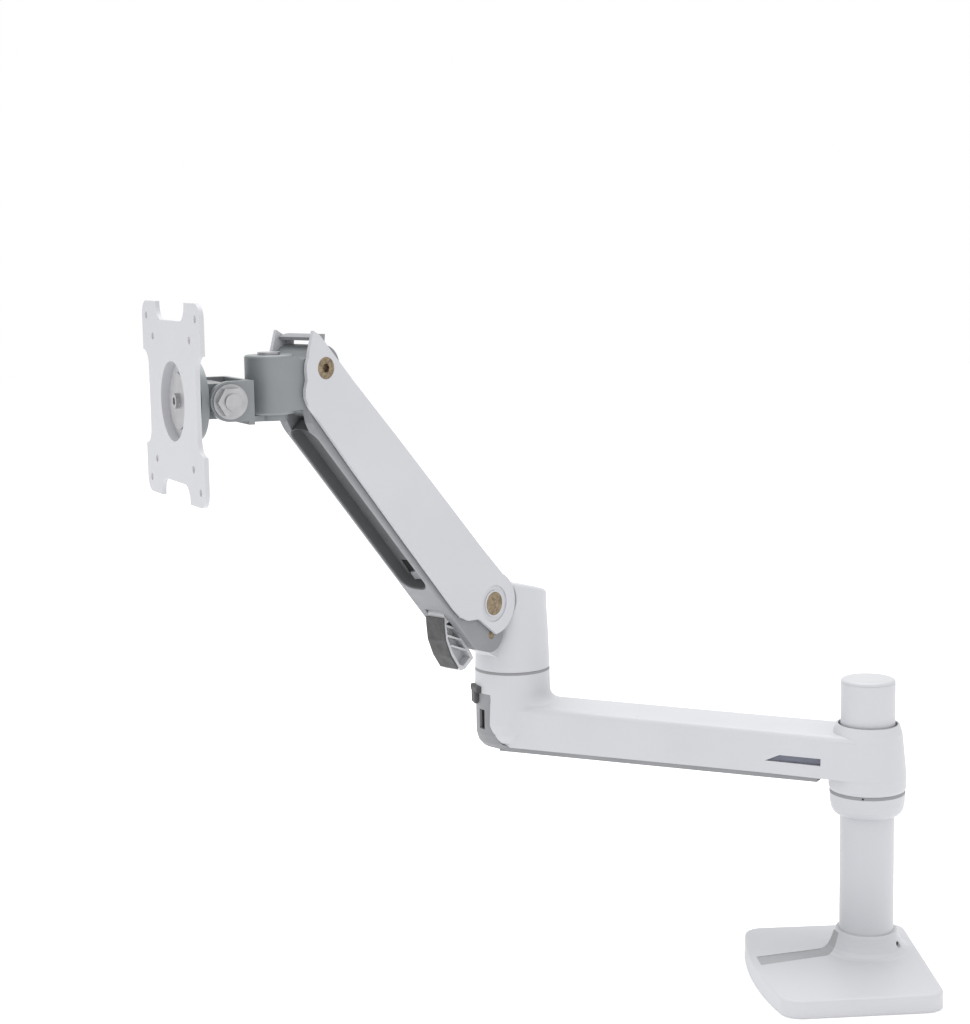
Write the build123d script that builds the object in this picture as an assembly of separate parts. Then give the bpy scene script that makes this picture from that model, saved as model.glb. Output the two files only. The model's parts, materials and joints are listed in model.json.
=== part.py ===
"""A desk arm for one screen: foot, pole, swivelling extension, sprung lift arm and tilting head.

Millimetres, Z up. The origin is the pole's axis on the desk, and the foot's straight front edge
lies along X. Every moving group is drawn about its own axis and then turned to its rest direction.
"""

from build123d import *
import math
import os

# ---- overall sizes
POLE_R = 17.5
POLE_TOP = 188.0
POLE_WALL = 2.5
BEAM_LENGTH = 257.3
ARM_LENGTH = 226.9
ARM_PITCH = 48.1
BEAM_YAW = 148.5
ARM_YAW = 224.3
HEAD_YAW = 201.6

# ---- clearances
RUN = 0.06
SIDE_GAP = 0.3
FACE_GAP = 0.2

# ---- foot
FOOT_T = 11.0
FOOT_CORNERS = ((-72.0, -90.5), (27.6, -89.0), (35.2, 44.0), (-71.0, 44.0))
FOOT_BOW = 8.5
HUB_TOP = 24.0
HUB_R = 19.6
FLARE_R = 30.0
SOCKET_FLOOR = 5.0
PAD_T = 1.2
DESK_HOLE_R = 3.3
DESK_HOLE_PITCH = 40.0
CHANNEL_W = 15.2
CHANNEL_YAW = 14.2
CHANNEL_DEPTH = 2.4

# ---- stop collar
COLLAR_R = 24.3
COLLAR_LOW = 101.5
COLLAR_TOP = 115.6
WASHER_T = 2.0

# ---- extension
HUB_LOW = COLLAR_TOP + WASHER_T + FACE_GAP
HUB_HIGH = 160.9
HUB_MOUTH_R = 20.3
BUSH_T = 1.5
BEAM_W = 44.0
BEAM_TOP = 153.4
BEAM_RISE = 1.9
BEAM_SHOULDER = 60.0
HUB_WIDE_R = 25.0
HUB_NECK_R = 22.3
BEAM_LOW_NEAR = 127.3
BEAM_LOW_FAR = 123.6
BEAM_WALL = 3.2
COVER_T = 3.0
COVER_START = 27.0
ELBOW_R = 26.9
ELBOW_TOP = 175.4
ELBOW_WASHER_T = 1.8
STEM_R = 11.0
ELBOW_FLOOR = 140.0
CATCH_YAW = 42.0
SLOT_YAW = 60.0

# ---- knuckle
KNUCKLE_R = 26.3
KNUCKLE_TOP_R = 24.6
KNUCKLE_LOW = ELBOW_TOP + ELBOW_WASHER_T + FACE_GAP
KNUCKLE_TOP = 236.0
KNUCKLE_SLOPE = 16.0
PIVOT_OUT = 37.9
PIVOT_Z = 228.9
PIVOT_DROP = 22.0
TONGUE_HALF = 7.7
BOSS_R = 9.4
LUG_R = 14.3

# ---- lift arm
ARM_HALF = 18.0
CHEEK_T = 2.5
WEB_T = 2.5
HEEL_R = 21.4
ROOF_BACK = 12.0
PIN_R = 4.5
PIN_HEAD_R = 8.0
HEAD_PIN_R = 6.8
INNER_HALF = ARM_HALF - CHEEK_T
LUG_HALF = INNER_HALF - SIDE_GAP

# ---- lower channel
LINK_HALF = INNER_HALF - 0.9
LINK_END_R = 12.1
LINK_TOP = 4.2
LINK_LOW = -16.8
FORK_IN = TONGUE_HALF + SIDE_GAP
GROOVE_HALF = 11.8
GROOVE_START = 66.0
GROOVE_DEPTH = 9.0
LOWER_PIN_R = 3.0
OPEN_HOLE_GAP = 0.35

# ---- head
BARREL_OUT = 30.5
BARREL_R = 15.1
BARREL_UP = 9.5
BARREL_DOWN = -26.5
SHIELD_R = 20.9
TILT_Z = -16.0
ARM_T = 3.6
PAN_PIN_R = 4.5
FORK_DISC_R = 10.5
TILT_OUT = 34.0
VESA_OUT = 20.0
PLATE_T = 2.6
PLATE_SIDE = 118.0
PLATE_HOLE_R = 2.3
DISH_R = 24.0
DISH_DEPTH = 6.0


def turn(shape, yaw, x=0.0, y=0.0, z=0.0):
    """The shape turned about Z and then moved."""
    return Pos(x, y, z) * Rot(0, 0, yaw) * shape


def polar(length, yaw):
    """The plan position at a distance and a heading."""
    return length * math.cos(math.radians(yaw)), length * math.sin(math.radians(yaw))


def rod(radius, low, high, x=0.0, y=0.0):
    """An upright cylinder between two heights."""
    return Pos(x, y, low) * Cylinder(radius, high - low, align=(Align.CENTER, Align.CENTER, Align.MIN))


def ring(outer, inner, low, high, x=0.0, y=0.0):
    """An upright tube between two heights."""
    return rod(outer, low, high, x, y) - rod(inner, low - 1, high + 1, x, y)


def block(x0, x1, y0, y1, z0, z1):
    """A box between two corners."""
    return Pos((x0 + x1) / 2, (y0 + y1) / 2, (z0 + z1) / 2) * Box(x1 - x0, y1 - y0, z1 - z0)


def side(sketch, y0, y1):
    """A side-view outline in X and Z, thickened from y0 to y1."""
    return Pos(0, y1, 0) * extrude(Plane.XZ * sketch, amount=y1 - y0)


def across(radius, y0, y1, x=0.0, z=0.0):
    """A cylinder lying along Y."""
    return side(Pos(x, z) * Circle(radius), y0, y1)


def lengthwise(radius, x0, x1, z=0.0, y=0.0):
    """A cylinder lying along X."""
    shape = Cylinder(radius, x1 - x0, align=(Align.CENTER, Align.CENTER, Align.MIN))
    return Pos(x0, y, z) * Rot(0, 90, 0) * shape


def outline(points):
    """A closed straight-sided sketch."""
    return make_face(Polyline(*points, close=True))


def lathe(points):
    """A half profile of radius and height, turned about Z."""
    return revolve(Plane.XZ * outline(points), Axis.Z)


def soften(shape, edges, radius):
    """Round some edges, or leave them sharp where the kernel can't."""
    try:
        rounded = fillet(edges, radius)
        return rounded if rounded.is_valid else shape
    except Exception:
        return shape


# ---------------------------------------------------------------- foot and pole


def foot_plan(inset=0.0):
    """The foot's plan: three straight sides and a bowed one, with rounded corners."""
    a, b, c, d = FOOT_CORNERS
    bow = ((a[0] + d[0]) / 2 - FOOT_BOW, (a[1] + d[1]) / 2 - 12.0)
    plan = make_face([Line(a, b), Line(b, c), Line(c, d), ThreePointArc(d, bow, a)])
    plan = fillet(plan.vertices(), 13.0)
    return offset(plan, -inset) if inset else plan


def flare_profile():
    """The flare's outside as radius and height, from the plate up to the neck."""
    return (
        (FLARE_R, FOOT_T),
        (FLARE_R - 2.8, FOOT_T + 0.9),
        (FLARE_R - 5.4, FOOT_T + 2.9),
        (FLARE_R - 7.4, FOOT_T + 5.8),
        (FLARE_R - 8.9, FOOT_T + 9.0),
        (HUB_R + 0.6, FOOT_T + 11.8),
        (HUB_R, HUB_TOP),
    )


def channel_strip(width, sink, lift):
    """The strip's solid: flat along the plate, then narrowing as it climbs the flare."""
    low = FOOT_T - sink
    top = FOOT_T + lift
    climb = [(-r, z) for r, z in flare_profile()[:-1]]
    above = [(x - 0.9 * lift, z + 0.5 * lift) for x, z in climb[1:]]
    below = [(x + 0.62 * sink, z - 0.4 * sink) for x, z in climb[1:]]
    start, stop = (-FLARE_R + 0.5, low), (-FLARE_R - 0.5, top)
    flat = outline(((-90.0, low), start, *below, *reversed(above), stop, (-90.0, top)))
    slim = (CHANNEL_W - width) / 2
    plan = outline(
        (
            (-90.0, slim - 7.6),
            (-FLARE_R - 2.0, slim - 6.7),
            (-HUB_R + 0.5, slim + 0.6),
            (-HUB_R + 0.5, 7.4 - slim),
            (-FLARE_R - 2.0, 6.7 - slim),
            (-90.0, 7.6 - slim),
        )
    )
    return turn(side(flat, -8.0, 8.0) & extrude(plan, 60.0), CHANNEL_YAW)


def foot():
    """The foot: a thick plate that flares up round the pole."""
    plate = extrude(foot_plan(), FOOT_T)
    plate = soften(plate, plate.faces().sort_by(Axis.Z)[-1].edges(), 1.8)
    flare = lathe(((0, FOOT_T - 1), (FLARE_R, FOOT_T - 1), *flare_profile(), (0, HUB_TOP)))
    body = plate + flare
    body -= rod(POLE_R + RUN, SOCKET_FLOOR, HUB_TOP + 1)
    body -= channel_strip(CHANNEL_W, CHANNEL_DEPTH, 3.0) & block(-75.0, 0, -60, 60, 0, 60)
    for x in (-DESK_HOLE_PITCH / 2, DESK_HOLE_PITCH / 2):
        for y in (-DESK_HOLE_PITCH / 2, DESK_HOLE_PITCH / 2):
            body -= rod(DESK_HOLE_R, -1, FOOT_T - 2.5, x, y)
    body -= rod(5.2, -1, SOCKET_FLOOR + 1)
    body -= extrude(pad_plan(0.0), PAD_T)
    return body - set_screw_hole()


def pad_plan(slack):
    """The pad: the foot's plan shrunk, with a clear middle for the desk fixings."""
    window = RectangleRounded(DESK_HOLE_PITCH + 11.0 + slack, DESK_HOLE_PITCH + 11.0 + slack, 6.0)
    return foot_plan(4.0 + slack) - window


def foot_pad():
    """A thin rubber frame let into the underside."""
    return extrude(pad_plan(0.2), PAD_T - 0.05)


SCREW_YAW = -40.0
SCREW_Z = 16.5


def set_screw_hole():
    """The radial thread in the foot's neck."""
    return Pos(0, 0, SCREW_Z) * Rot(0, 0, SCREW_YAW) * lengthwise(2.1, POLE_R - 1, 34.0)


def foot_set_screw():
    """The short screw that locks the pole."""
    screw = lengthwise(2.05, POLE_R + RUN, 21.4) - lengthwise(1.1, 19.6, 22.0)
    return Pos(0, 0, SCREW_Z) * Rot(0, 0, SCREW_YAW) * screw


def foot_cable_channel():
    """The grey strip that closes the foot's cable groove."""
    strip = channel_strip(CHANNEL_W - 0.3, CHANNEL_DEPTH - 0.1, -0.4)
    return strip & block(-74.8, 0, -60, 60, 0, 50)


def pole():
    """The pole: one thick-walled tube."""
    return ring(POLE_R, POLE_R - POLE_WALL, SOCKET_FLOOR + 0.1, POLE_TOP)


def pole_cap():
    """The pole's plug with a rounded rim."""
    rim = POLE_R - 0.05
    cap = lathe(
        (
            (0, POLE_TOP + 0.1),
            (rim, POLE_TOP + 0.1),
            (rim, POLE_TOP + 0.9),
            (rim - 0.5, POLE_TOP + 1.7),
            (rim - 1.6, POLE_TOP + 2.3),
            (rim - 6.0, POLE_TOP + 2.9),
            (0, POLE_TOP + 3.2),
        )
    )
    inner = POLE_R - POLE_WALL - RUN
    return cap + ring(inner, inner - 2.0, POLE_TOP - 9.0, POLE_TOP + 0.6)


# ---------------------------------------------------------------- stop collar


def stop_collar():
    """The height stop: a clamped ring with a rounded lower edge."""
    r = COLLAR_R
    bore = POLE_R + RUN
    body = lathe(
        (
            (bore, COLLAR_LOW),
            (r - 5.2, COLLAR_LOW),
            (r - 3.6, COLLAR_LOW + 0.5),
            (r - 1.9, COLLAR_LOW + 2.2),
            (r - 0.9, COLLAR_LOW + 4.6),
            (r - 0.3, COLLAR_LOW + 8.0),
            (r, COLLAR_TOP),
            (bore, COLLAR_TOP),
        )
    )
    for yaw in (70.0, 110.0):
        body -= turn(lengthwise(2.1, POLE_R - 1, 30.0, COLLAR_LOW + 8.0), yaw)
    return body


def collar_screws():
    """Two short screws that grip the pole."""
    screw = lengthwise(2.05, POLE_R + 0.1, COLLAR_R - 0.9, COLLAR_LOW + 8.0)
    screw -= lengthwise(1.1, COLLAR_R - 2.6, 30.0, COLLAR_LOW + 8.0)
    return turn(screw, 70.0) + turn(screw, 110.0)


def collar_washer():
    """The grey bearing ring on top of the collar, with its small dowel hole."""
    body = ring(COLLAR_R + 0.05, POLE_R + RUN, COLLAR_TOP, COLLAR_TOP + WASHER_T)
    return body - turn(lengthwise(0.7, 21.0, 30.0, COLLAR_TOP + 1.0), 249.0)


# ---------------------------------------------------------------- extension


def beam_low(u):
    """The beam's lower edge at a distance along it."""
    share = u / BEAM_LENGTH
    return BEAM_LOW_NEAR + (BEAM_LOW_FAR - BEAM_LOW_NEAR) * share


def hub_shell():
    """The hub that turns on the pole: it draws in upwards, just inside the beam's rounded end."""
    return lathe(
        (
            (0, HUB_LOW),
            (HUB_WIDE_R - 0.7, HUB_LOW),
            (HUB_WIDE_R, HUB_LOW + 2.4),
            (HUB_WIDE_R - 0.1, BEAM_LOW_NEAR),
            (HUB_NECK_R - 0.1, BEAM_TOP + BEAM_RISE),
            (HUB_NECK_R - 1.2, BEAM_TOP + BEAM_RISE + 3.4),
            (HUB_MOUTH_R, HUB_HIGH),
            (0, HUB_HIGH),
        )
    )


def beam_plan(radius):
    """The beam in plan: round about the pole, straight flanks to the shoulder, parallel sides."""
    half = BEAM_W / 2
    far = math.hypot(BEAM_SHOULDER, half)
    lean = math.atan2(half, BEAM_SHOULDER) + math.acos(radius / far)
    touch = (radius * math.cos(lean), radius * math.sin(lean))
    end = BEAM_LENGTH
    lines = [
        ThreePointArc((touch[0], touch[1]), (-radius, 0), (touch[0], -touch[1])),
        Line((touch[0], -touch[1]), (BEAM_SHOULDER, -half)),
        Line((BEAM_SHOULDER, -half), (end, -half)),
        Line((end, -half), (end, half)),
        Line((end, half), (BEAM_SHOULDER, half)),
        Line((BEAM_SHOULDER, half), (touch[0], touch[1])),
    ]
    return make_face(lines)


def beam_solid():
    """The beam's outside: the plan drawn in upwards round the hub, cut to its sloping top and bottom."""
    end = BEAM_LENGTH
    low = BEAM_LOW_FAR - 1.0
    high = BEAM_TOP + BEAM_RISE + 1.0
    lean = (HUB_WIDE_R - HUB_NECK_R) / (BEAM_TOP + BEAM_RISE - BEAM_LOW_NEAR)
    wide = HUB_WIDE_R + lean * (BEAM_LOW_NEAR - low)
    neck = HUB_NECK_R - lean
    solid = loft([Pos(0, 0, low) * beam_plan(wide), Pos(0, 0, high) * beam_plan(neck)], ruled=True)
    slope = BEAM_RISE / end
    left = BEAM_TOP + BEAM_RISE + 40 * slope
    above = outline(((-40, left), (end + 5, BEAM_TOP - 5 * slope), (end + 5, 170), (-40, 170)))
    solid -= side(above, -40, 40)
    drop = (BEAM_LOW_NEAR - BEAM_LOW_FAR) / end
    left = BEAM_LOW_NEAR + 40 * drop
    under = outline(((-40, left), (end + 5, BEAM_LOW_FAR - 5 * drop), (end + 5, 90), (-40, 90)))
    solid -= side(under, -40, 40)
    rim = [e for e in solid.faces().sort_by(Axis.Z)[-1].edges() if e.center().X < end - 1]
    rounded = soften(solid, rim, 4.0)
    if rounded is solid:
        rounded = soften(solid, [e for e in rim if e.center().X > BEAM_SHOULDER], 4.0)
    return rounded


def elbow_solid():
    """The upright boss at the beam's far end, wider towards its foot."""
    boss = lathe(
        (
            (0, BEAM_LOW_FAR + 0.6),
            (20.5, BEAM_LOW_FAR + 0.6),
            (24.4, BEAM_LOW_FAR + 3.4),
            (26.4, BEAM_LOW_FAR + 8.5),
            (ELBOW_R, BEAM_LOW_FAR + 16.0),
            (ELBOW_R - 0.1, BEAM_TOP),
            (KNUCKLE_R + 0.1, ELBOW_TOP),
            (0, ELBOW_TOP),
        )
    )
    return Pos(BEAM_LENGTH, 0, 0) * boss


def beam_hollow():
    """The cable trough under the beam, open downwards."""
    half = BEAM_W / 2 - BEAM_WALL
    start = COVER_START
    end = BEAM_LENGTH + 4.0
    roof = BEAM_TOP - BEAM_WALL - 0.2
    return block(start, end, -half, half, BEAM_LOW_FAR - 6, roof)


def elbow_hollow():
    """The room under the elbow's bearing for the stem's screw and the cables."""
    lower = rod(19.0, BEAM_LOW_FAR - 6, ELBOW_FLOOR, BEAM_LENGTH)
    return lower


def bowl_inside(slack):
    """The inner line of the end cover, from the middle of its sole up to its rim."""
    low = beam_low(BEAM_LENGTH) - 0.1
    wall = 26.0 - COVER_T - slack
    return (
        (0, low - 0.3),
        (16.0, low - 0.3),
        (19.0 - slack, low + 1.2 + slack),
        (22.0 - slack, low + 4.4 + slack),
        (wall, low + 9.6 + slack),
        (wall, 160.8 + slack),
    )


def end_side(slack):
    """The end cover's side view: its edge drops from the rim and sweeps back into the sole."""
    edge = ((261.7, 170.0), (261.7, 161.0), (260.3, 149.0), (259.7, 140.5), (258.6, 134.0), (256.6, 129.3),
            (253.6, 125.8), (249.0, 123.9))
    shift = BEAM_LENGTH - 257.3 - slack
    edge = [(x + shift, z) for x, z in edge]
    half = ELBOW_R * math.sin(math.radians(78.0)) + slack
    far = BEAM_LENGTH + 40.0
    return side(outline((*edge, (edge[-1][0], 90.0), (far, 90.0), (far, 170.0))), -half, half)


def end_cut(slack):
    """The space that the end cover takes out of the elbow's outer end."""
    inside = bowl_inside(slack)
    room = Pos(BEAM_LENGTH, 0, 0) * lathe((*inside, (40.0, 160.8 + slack), (40.0, 90.0), (0, 90.0)))
    return room & end_side(slack)


def catch_shape(slack):
    """The catch's outside: a rounded tab above the cover and a narrower tongue down over it."""
    tab = block(21.4 - slack, 29.2, -7.2 - slack, 7.2 + slack, 161.0 - slack, 165.5 + slack)
    tab = soften(tab, [e for e in tab.edges() if e.center().X > 27.0], 1.4)
    hook = block(26.4, 29.0, -4.8, 4.8, 152.6, 162.0)
    hook = soften(hook, [e for e in hook.edges() if e.center().Z < 153.0 or e.center().X > 28.5], 1.0)
    return turn(tab, CATCH_YAW + 4.0, BEAM_LENGTH) + turn(hook, CATCH_YAW, BEAM_LENGTH)


def window_cut(slack):
    """The wedge-shaped window on the beam's near side."""
    shape = outline(
        (
            (24.0 - slack, 135.0 - slack),
            (62.0 + 3 * slack, 134.6 - slack),
            (52.0 + slack, 139.3 + slack),
            (24.0 - slack, 139.8 + slack),
        )
    )
    return side(shape, BEAM_W / 2 - BEAM_WALL + 0.6, BEAM_W / 2 + 2)


def extension_arm():
    """The extension: hub, hollow beam and elbow boss in one casting."""
    body = beam_solid() + hub_shell() + elbow_solid()
    joint = [
        e
        for e in body.edges()
        if abs(e.center().Z - BEAM_TOP) < 0.8 and BEAM_LENGTH - 40 < e.center().X < BEAM_LENGTH - 5
        and e.geom_type != GeomType.LINE
    ]
    softer = soften(body, joint, 8.0)
    body = soften(body, joint, 5.0) if softer is body else softer
    body -= rod(POLE_R + BUSH_T + RUN, HUB_LOW - 1, HUB_HIGH + 1)
    body -= beam_hollow()
    body -= elbow_hollow()
    body -= rod(STEM_R + BUSH_T + RUN, 130.0, ELBOW_TOP + 1, BEAM_LENGTH)
    body -= end_cut(0.15)
    body -= catch_shape(0.1)
    body -= window_cut(0.0)
    return body


def hub_bush():
    """The plastic sleeve between hub and pole."""
    return ring(POLE_R + BUSH_T, POLE_R + RUN, HUB_LOW + 0.1, HUB_HIGH - 1.2)


def elbow_bush():
    """The plastic sleeve in the elbow."""
    return ring(STEM_R + BUSH_T, STEM_R + RUN, ELBOW_FLOOR + 0.1, ELBOW_TOP - 0.1, BEAM_LENGTH)


def elbow_washer():
    """The thin grey ring between elbow and knuckle."""
    return ring(KNUCKLE_R, STEM_R + 0.5, ELBOW_TOP, ELBOW_TOP + ELBOW_WASHER_T, BEAM_LENGTH)


def extension_cover():
    """The grey cover under the beam, turned up round the elbow's end."""
    start = COVER_START
    end = BEAM_LENGTH
    low_a = beam_low(start) - 0.1
    low_b = beam_low(end) - 0.1
    strip = outline(
        (
            (start, low_a),
            (end, low_b),
            (end, low_b - COVER_T),
            (start, low_a - COVER_T),
        )
    )
    half = BEAM_W / 2 - 0.6
    sole = side(strip, -half, half)
    bowl = Pos(BEAM_LENGTH, 0, 0) * lathe(
        (
            *bowl_inside(0.0),
            (26.0, 160.8),
            (26.0, low_b - COVER_T + 11.0),
            (24.6, low_b - COVER_T + 5.4),
            (21.6, low_b - COVER_T + 1.8),
            (17.0, low_b - COVER_T),
            (0, low_b - COVER_T),
        )
    )
    body = sole + (bowl & end_side(-0.05))
    for yaw in (SLOT_YAW, -SLOT_YAW):
        body -= turn(block(10, 40, -3.2, 3.2, 135.3, 149.2), yaw, BEAM_LENGTH)
    lips = block(start + 4, end - 30, -half + 3.2, -half + 5.0, low_b, low_b + 4)
    return body + lips + mirror(lips, Plane.XZ)


def extension_latch():
    """The small dark catch above the cover's cable slots."""
    return catch_shape(0.0)


def extension_window():
    """The grey wedge set into the beam's near side."""
    return window_cut(-0.35) & block(0, 90, BEAM_W / 2 - BEAM_WALL + 0.65, BEAM_W / 2 - 1.0, 120, 150)


# ---------------------------------------------------------------- knuckle


def knuckle_body():
    """The knuckle's upright part, cut off by a plane that falls away behind."""
    body = lathe(
        (
            (0, KNUCKLE_LOW),
            (KNUCKLE_R, KNUCKLE_LOW),
            (KNUCKLE_TOP_R + 1.1, 200.0),
            (KNUCKLE_TOP_R, 222.0),
            (KNUCKLE_TOP_R, 246.0),
            (0, 246.0),
        )
    )
    lid = Pos(0, 0, KNUCKLE_TOP) * Rot(0, -KNUCKLE_SLOPE, 0) * block(-60, 60, -40, 40, 0, 60)
    body -= lid
    rim = [e for e in body.edges() if e.center().Z > 222.0 and e.geom_type != GeomType.LINE]
    return soften(body, rim, 3.0)


def knuckle_tongue():
    """The forward lug: a wide bearing above and a narrow one below."""
    top = PIVOT_Z
    low = PIVOT_Z - PIVOT_DROP
    web = outline(
        (
            (8, 182),
            (21.5, 182.5),
            (25.5, 188.5),
            (PIVOT_OUT + 4.0, low - 9.5),
            (PIVOT_OUT + 10.0, low),
            (PIVOT_OUT + 12.6, top - 6.0),
            (PIVOT_OUT + 9.0, top + 10.0),
            (PIVOT_OUT - 8.0, top + 11.0),
            (24.0, top + 8.0),
            (8, top + 5.0),
        )
    )
    narrow = side(web, -TONGUE_HALF, TONGUE_HALF)
    narrow += across(LUG_R, -TONGUE_HALF, TONGUE_HALF, PIVOT_OUT, top)
    narrow += across(10.4, -TONGUE_HALF, TONGUE_HALF, PIVOT_OUT, low)
    wide = side(
        outline(((12, top - 8.6), (PIVOT_OUT, top - BOSS_R), (PIVOT_OUT, top + BOSS_R), (12, top + 7.5))),
        -LUG_HALF,
        LUG_HALF,
    )
    wide += across(BOSS_R, -LUG_HALF, LUG_HALF, PIVOT_OUT, top)
    return narrow + wide


def knuckle():
    """The casting between the elbow and the lift arm."""
    body = knuckle_body() + knuckle_tongue()
    low = PIVOT_Z - PIVOT_DROP
    body -= across(HEEL_R + 0.8, LUG_HALF, 40, PIVOT_OUT, PIVOT_Z)
    body -= across(HEEL_R + 0.8, -40, -LUG_HALF, PIVOT_OUT, PIVOT_Z)
    body -= across(LINK_END_R + 0.5, TONGUE_HALF, 40, PIVOT_OUT, low)
    body -= across(LINK_END_R + 0.5, -40, -TONGUE_HALF, PIVOT_OUT, low)
    body -= across(PIN_R + RUN, -40, 40, PIVOT_OUT, PIVOT_Z)
    body -= across(LOWER_PIN_R + RUN, -40, 40, PIVOT_OUT, low)
    return body - rod(STEM_R - 2.0, KNUCKLE_LOW - 1, 200.0)


def knuckle_stem():
    """The steel stem that turns in the elbow."""
    stem = rod(STEM_R, ELBOW_FLOOR - 0.1, KNUCKLE_LOW - 0.05)
    stem += rod(STEM_R - 2.03, KNUCKLE_LOW - 1, 199.0)
    return stem - rod(4.0, ELBOW_FLOOR - 1.0, 156.0)


def stem_retainer():
    """The screw and disc that keep the stem in the elbow."""
    top = ELBOW_FLOOR - 0.15
    body = rod(14.6, top - 1.6, top) + rod(3.95, top - 1.0, 154.0) + rod(6.5, top - 5.6, top - 1.2)
    return body - extrude(Pos(0, 0, top - 6.0) * RegularPolygon(3.4, 6), 3.0)


# ---------------------------------------------------------------- lift arm


def cheek_outline():
    """The lift arm's side: tapering to a cut nose, round at the heel."""
    end = ARM_LENGTH
    return outline(
        (
            (end + 23.7, 8.4),
            (end + 18.2, 10.3),
            (end - 18.0, 11.0),
            (end - 79.0, 13.9),
            (82.0, 16.4),
            (40.0, 17.9),
            (8.0, 19.8),
            (0.0, HEEL_R),
            (-HEEL_R * 0.5, HEEL_R * 0.866),
            (-17.2, -13.1),
            (4.0, -17.2),
            (11.5, -24.8),
            (18.0, -27.6),
            (26.0, -28.4),
            (95.0, -28.2),
            (end - 64.0, -27.6),
            (end - 6.0, -26.2),
            (end - 1.0, -24.6),
            (end + 2.6, -21.2),
            (end + 5.6, -16.2),
            (end + 10.4, -12.6),
            (end + 13.0, -9.8),
            (end + 14.6, -6.0),
            (end + 17.2, -2.6),
        )
    )


def web_outline(start, stop, thick):
    """The lift arm's roof in side view, following the cheeks' top edge."""
    top = ((8.0, 19.8), (40.0, 17.9), (82.0, 16.4), (ARM_LENGTH - 79.0, 13.9), (ARM_LENGTH - 18.0, 11.0))
    top = top + ((ARM_LENGTH + 18.2, 10.3),)
    points = [(x, z) for x, z in top if start < x < stop]
    first = (start, roof_height(start, top))
    last = (stop, roof_height(stop, top))
    upper = [first, *points, last]
    lower = [(x, z - thick) for x, z in reversed(upper)]
    return outline(upper + lower)


def roof_height(x, line):
    """The height of a broken line at x."""
    for (x0, z0), (x1, z1) in zip(line, line[1:]):
        if x0 <= x <= x1:
            return z0 + (z1 - z0) * (x - x0) / (x1 - x0)
    return line[-1][1]


def upper_cover():
    """The lift arm's white shell: two cheeks and a roof, open below."""
    cheek = side(cheek_outline(), INNER_HALF, ARM_HALF)
    below = outline(((-40.0, -8.7), (-17.2, -13.1), (4.0, -17.2), (11.5, -24.8), (20.0, -40.0), (-40.0, -40.0)))
    cheek += across(HEEL_R, INNER_HALF, ARM_HALF) - side(below, 0, 40)
    body = cheek + mirror(cheek, Plane.XZ)
    roof = side(web_outline(8.0, ARM_LENGTH - ROOF_BACK, WEB_T), -INNER_HALF - 0.5, INNER_HALF + 0.5)
    body += roof
    dish = across(12.6, ARM_HALF - 0.9, ARM_HALF + 2) - across(PIN_HEAD_R + 1.0, 0, 30)
    body -= dish
    body -= across(PIN_R + RUN, -30, 30)
    body -= across(PIN_R + RUN, -30, 30, ARM_LENGTH)
    for x, r in ((0.0, PIN_HEAD_R), (ARM_LENGTH, HEAD_PIN_R)):
        body -= across(r + 0.1, ARM_HALF - 1.3, ARM_HALF + 2, x)
        body -= across(r + 0.1, -ARM_HALF - 2, -ARM_HALF + 1.3, x)
    return body


def pivot_pin(x, head_r, socket):
    """A shoulder pin with a flush head on each side."""
    reach = ARM_HALF - 1.25
    body = across(PIN_R, -reach, reach, x)
    body += across(head_r, reach, ARM_HALF - 0.1, x)
    body += across(head_r, -ARM_HALF + 0.1, -reach, x)
    if socket:
        body -= side(Pos(x, 0) * RegularPolygon(socket, 6), reach - 1.4, ARM_HALF + 1)
    return body


def tension_spring():
    """The coil spring that carries the screen's weight, as a close wound tube."""
    body = lengthwise(9.0, 66.0, 168.0, -1.0)
    for step in range(17):
        x = 68.0 + 6.0 * step
        body -= lengthwise(12.0, x, x + 2.6, -1.0) - lengthwise(8.0, x - 1, x + 4, -1.0)
    return body - lengthwise(6.0, 60.0, 180.0, -1.0)


def tension_rod():
    """The threaded rod down the spring, with its adjusting head."""
    body = lengthwise(3.6, 46.0, 190.0, -1.0) + lengthwise(6.4, 41.0, 47.0, -1.0)
    return body - Pos(40.0, 0, -1.0) * Rot(0, 90, 0) * extrude(RegularPolygon(2.6, 6), 5.0)


def tension_blocks():
    """The anchor across the cheeks and the slider that presses the spring."""
    anchor = block(54.0, 65.9, -INNER_HALF + 0.1, INNER_HALF - 0.1, -9.5, 9.5)
    slider = block(168.1, 180.0, -INNER_HALF + 0.1, INNER_HALF - 0.1, -9.5, 7.5)
    body = anchor + slider
    return body - lengthwise(3.7, 40, 200, -1.0)


# ---------------------------------------------------------------- lower channel


def link_side(sign):
    """One long wall of the lower channel, with a round eye at each end."""
    y0 = FORK_IN if sign > 0 else -LINK_HALF
    y1 = LINK_HALF if sign > 0 else -FORK_IN
    end = ARM_LENGTH
    wall = outline(
        (
            (0, LINK_TOP),
            (end, LINK_TOP),
            (end + 8.0, -9.0),
            (end - 2.0, LINK_LOW + 2.0),
            (end - 10.0, LINK_LOW),
            (4.0, LINK_LOW),
            (-7.5, -9.4),
        )
    )
    body = side(wall, y0, y1)
    body += across(LINK_END_R, y0, y1) + across(LINK_END_R, y0, y1, end)
    return body


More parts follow.
